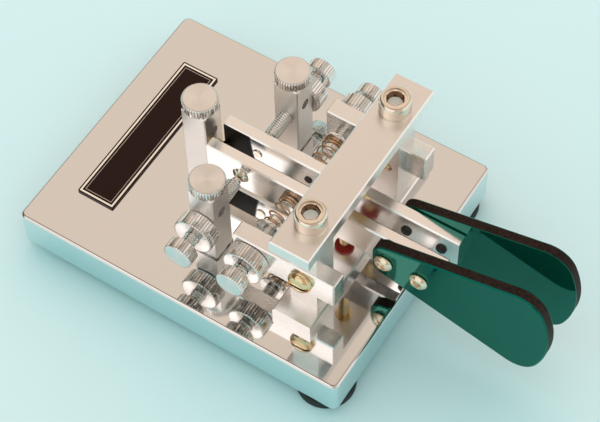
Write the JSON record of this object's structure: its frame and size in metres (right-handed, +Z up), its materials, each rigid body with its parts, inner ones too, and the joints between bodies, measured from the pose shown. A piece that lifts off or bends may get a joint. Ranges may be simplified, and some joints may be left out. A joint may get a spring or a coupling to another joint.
{
  "type": "twin lever morse key",
  "caption": "Iambic Morse paddle key on a polished plated base: upright levers in a bridge frame, flared finger pieces, sprung adjusters, contact screws and binding posts.",
  "frame": {"origin": "on the desk surface, at the centre of the whole footprint: midway between the tips of the finger pieces and the rear feet, and midway between the sides", "axes": "+Z up, +X to the operator's right, +Y away from the operator, from the finger pieces towards the nameplate"},
  "size_m": [0.0808, 0.142, 0.056],
  "materials": {
    "chrome": "polished chrome plate",
    "nickel_gold": "pale gold plated steel",
    "brass": "bright turned brass",
    "spring_wire": "phosphor bronze wire",
    "black_acrylic": "polished black acrylic",
    "rubber": "moulded black rubber",
    "red_fibre": "red vulcanised fibre",
    "pale_nylon": "natural nylon",
    "nameplate": "dark enamelled plate with a plain cream border",
    "steel": "plated steel"
  },
  "bodies": {
    "base": {"base_plate": "chrome", "nameplate": "nameplate", "rubber_foot_front_left": "rubber", "rubber_foot_front_right": "rubber", "rubber_foot_rear_left": "rubber", "rubber_foot_rear_right": "rubber", "foot_screws": "steel", "pivot_plate": "chrome", "pillar_left": "chrome", "pillar_right": "chrome", "rail_left": "chrome", "rail_right": "chrome", "rail_screws": "nickel_gold", "bridge": "chrome", "bridge_screws": "nickel_gold", "frame_screws": "steel", "pivot_bushes": "brass", "pivot_washers": "red_fibre", "contact_post_left": "chrome", "contact_post_right": "chrome", "common_post": "chrome", "stop_peg": "brass", "post_insulators": "pale_nylon", "post_screws": "steel"},
    "lever_left": {"lever_left": "chrome", "pivot_shaft_left": "brass", "finger_piece_left": "black_acrylic", "finger_screws_left": "nickel_gold", "lever_contact_left": "nickel_gold", "spring_pin_left": "steel", "return_spring_left": "spring_wire"},
    "contact_screw_left": {"contact_screw_left": "chrome", "contact_tip_left": "chrome"},
    "contact_knob_left": {"contact_knob_left": "chrome"},
    "contact_locknut_left": {"contact_locknut_left": "chrome"},
    "spring_screw_left": {"spring_screw_left": "chrome", "spring_seat_left": "chrome"},
    "spring_knob_left": {"spring_knob_left": "chrome"},
    "spring_locknut_left": {"spring_locknut_left": "chrome"},
    "lever_right": {"lever_right": "chrome", "pivot_shaft_right": "brass", "finger_piece_right": "black_acrylic", "finger_screws_right": "nickel_gold", "lever_contact_right": "nickel_gold", "spring_pin_right": "steel", "return_spring_right": "spring_wire"},
    "contact_screw_right": {"contact_screw_right": "chrome", "contact_tip_right": "chrome"},
    "contact_knob_right": {"contact_knob_right": "chrome"},
    "contact_locknut_right": {"contact_locknut_right": "chrome"},
    "spring_screw_right": {"spring_screw_right": "chrome", "spring_seat_right": "chrome"},
    "spring_knob_right": {"spring_knob_right": "chrome"},
    "spring_locknut_right": {"spring_locknut_right": "chrome"},
    "binding_screw_left": {"binding_screw_left": "chrome"},
    "binding_cap_left": {"binding_cap_left": "chrome"},
    "binding_screw_right": {"binding_screw_right": "chrome"},
    "binding_cap_right": {"binding_cap_right": "chrome"},
    "binding_screw_common": {"binding_screw_common": "chrome"},
    "binding_cap_common": {"binding_cap_common": "chrome"}
  },
  "joints": [
    {"name": "lever_pivot_left", "type": "hinge", "parent": "base", "child": "lever_left", "pos_m": [-0.0041, -0.0095, 0.0295], "axis": [0, 0, 1], "range_deg": [0, 0.9], "stiffness_Nm_per_rad": 0.228, "springref_deg": -1.89, "deforming": ["return_spring_left"]},
    {"name": "contact_travel_left", "type": "slide", "parent": "base", "child": "contact_screw_left", "axis": [-1, 0, 0], "range_m": [-0.00023, 0.0014]},
    {"name": "contact_knob_turn_left", "type": "hinge", "parent": "contact_screw_left", "child": "contact_knob_left", "pos_m": [-0.0335, 0.0214, 0.0295], "axis": [-1, 0, 0], "range_deg": [-120.1, 720.1]},
    {"name": "contact_locknut_turn_left", "type": "hinge", "parent": "base", "child": "contact_locknut_left", "pos_m": [-0.0261, 0.0214, 0.0295], "axis": [-1, 0, 0], "range_deg": [0, 90]},
    {"name": "spring_travel_left", "type": "slide", "parent": "base", "child": "spring_screw_left", "axis": [-1, 0, 0], "range_m": [-0.0014, 0.0014], "deforming": ["return_spring_left"]},
    {"name": "spring_knob_turn_left", "type": "hinge", "parent": "spring_screw_left", "child": "spring_knob_left", "pos_m": [-0.0335, 0.0056, 0.0295], "axis": [-1, 0, 0], "range_deg": [-720.1, 720.1]},
    {"name": "spring_locknut_turn_left", "type": "hinge", "parent": "base", "child": "spring_locknut_left", "pos_m": [-0.02735, 0.0056, 0.0295], "axis": [-1, 0, 0], "range_deg": [0, 90]},
    {"name": "lever_pivot_right", "type": "hinge", "parent": "base", "child": "lever_right", "pos_m": [0.0041, -0.0095, 0.0295], "axis": [0, 0, -1], "range_deg": [0, 0.9], "stiffness_Nm_per_rad": 0.228, "springref_deg": -1.89, "deforming": ["return_spring_right"]},
    {"name": "contact_travel_right", "type": "slide", "parent": "base", "child": "contact_screw_right", "axis": [1, 0, 0], "range_m": [-0.00023, 0.0014]},
    {"name": "contact_knob_turn_right", "type": "hinge", "parent": "contact_screw_right", "child": "contact_knob_right", "pos_m": [0.0335, 0.0214, 0.0295], "axis": [1, 0, 0], "range_deg": [-120.1, 720.1]},
    {"name": "contact_locknut_turn_right", "type": "hinge", "parent": "base", "child": "contact_locknut_right", "pos_m": [0.0261, 0.0214, 0.0295], "axis": [1, 0, 0], "range_deg": [0, 90]},
    {"name": "spring_travel_right", "type": "slide", "parent": "base", "child": "spring_screw_right", "axis": [1, 0, 0], "range_m": [-0.0014, 0.0014], "deforming": ["return_spring_right"]},
    {"name": "spring_knob_turn_right", "type": "hinge", "parent": "spring_screw_right", "child": "spring_knob_right", "pos_m": [0.0335, 0.0056, 0.0295], "axis": [1, 0, 0], "range_deg": [-720.1, 720.1]},
    {"name": "spring_locknut_turn_right", "type": "hinge", "parent": "base", "child": "spring_locknut_right", "pos_m": [0.02735, 0.0056, 0.0295], "axis": [1, 0, 0], "range_deg": [0, 90]},
    {"name": "binding_travel_left", "type": "slide", "parent": "base", "child": "binding_screw_left", "axis": [0, 0, 1], "range_m": [0, 0.003]},
    {"name": "binding_cap_turn_left", "type": "hinge", "parent": "binding_screw_left", "child": "binding_cap_left", "pos_m": [-0.02, 0.0214, 0.0442], "axis": [0, 0, 1], "range_deg": [0, 2160.1]},
    {"name": "binding_travel_right", "type": "slide", "parent": "base", "child": "binding_screw_right", "axis": [0, 0, 1], "range_m": [0, 0.003]},
    {"name": "binding_cap_turn_right", "type": "hinge", "parent": "binding_screw_right", "child": "binding_cap_right", "pos_m": [0.02, 0.0214, 0.0442], "axis": [0, 0, 1], "range_deg": [0, 2160.1]},
    {"name": "binding_travel_common", "type": "slide", "parent": "base", "child": "binding_screw_common", "axis": [0, 0, 1], "range_m": [0, 0.003]},
    {"name": "binding_cap_turn_common", "type": "hinge", "parent": "binding_screw_common", "child": "binding_cap_common", "pos_m": [0, 0.03715, 0.0442], "axis": [0, 0, 1], "range_deg": [0, 2160.1]}
  ],
  "couplings": [
    {"joint": "contact_knob_turn_left", "follows": "contact_travel_left", "rad_per_m": 8976},
    {"joint": "spring_knob_turn_left", "follows": "spring_travel_left", "rad_per_m": 8976},
    {"joint": "contact_knob_turn_right", "follows": "contact_travel_right", "rad_per_m": 8976},
    {"joint": "spring_knob_turn_right", "follows": "spring_travel_right", "rad_per_m": 8976},
    {"joint": "binding_cap_turn_left", "follows": "binding_travel_left", "rad_per_m": 12566},
    {"joint": "binding_cap_turn_right", "follows": "binding_travel_right", "rad_per_m": 12566},
    {"joint": "binding_cap_turn_common", "follows": "binding_travel_common", "rad_per_m": 12566}
  ]
}
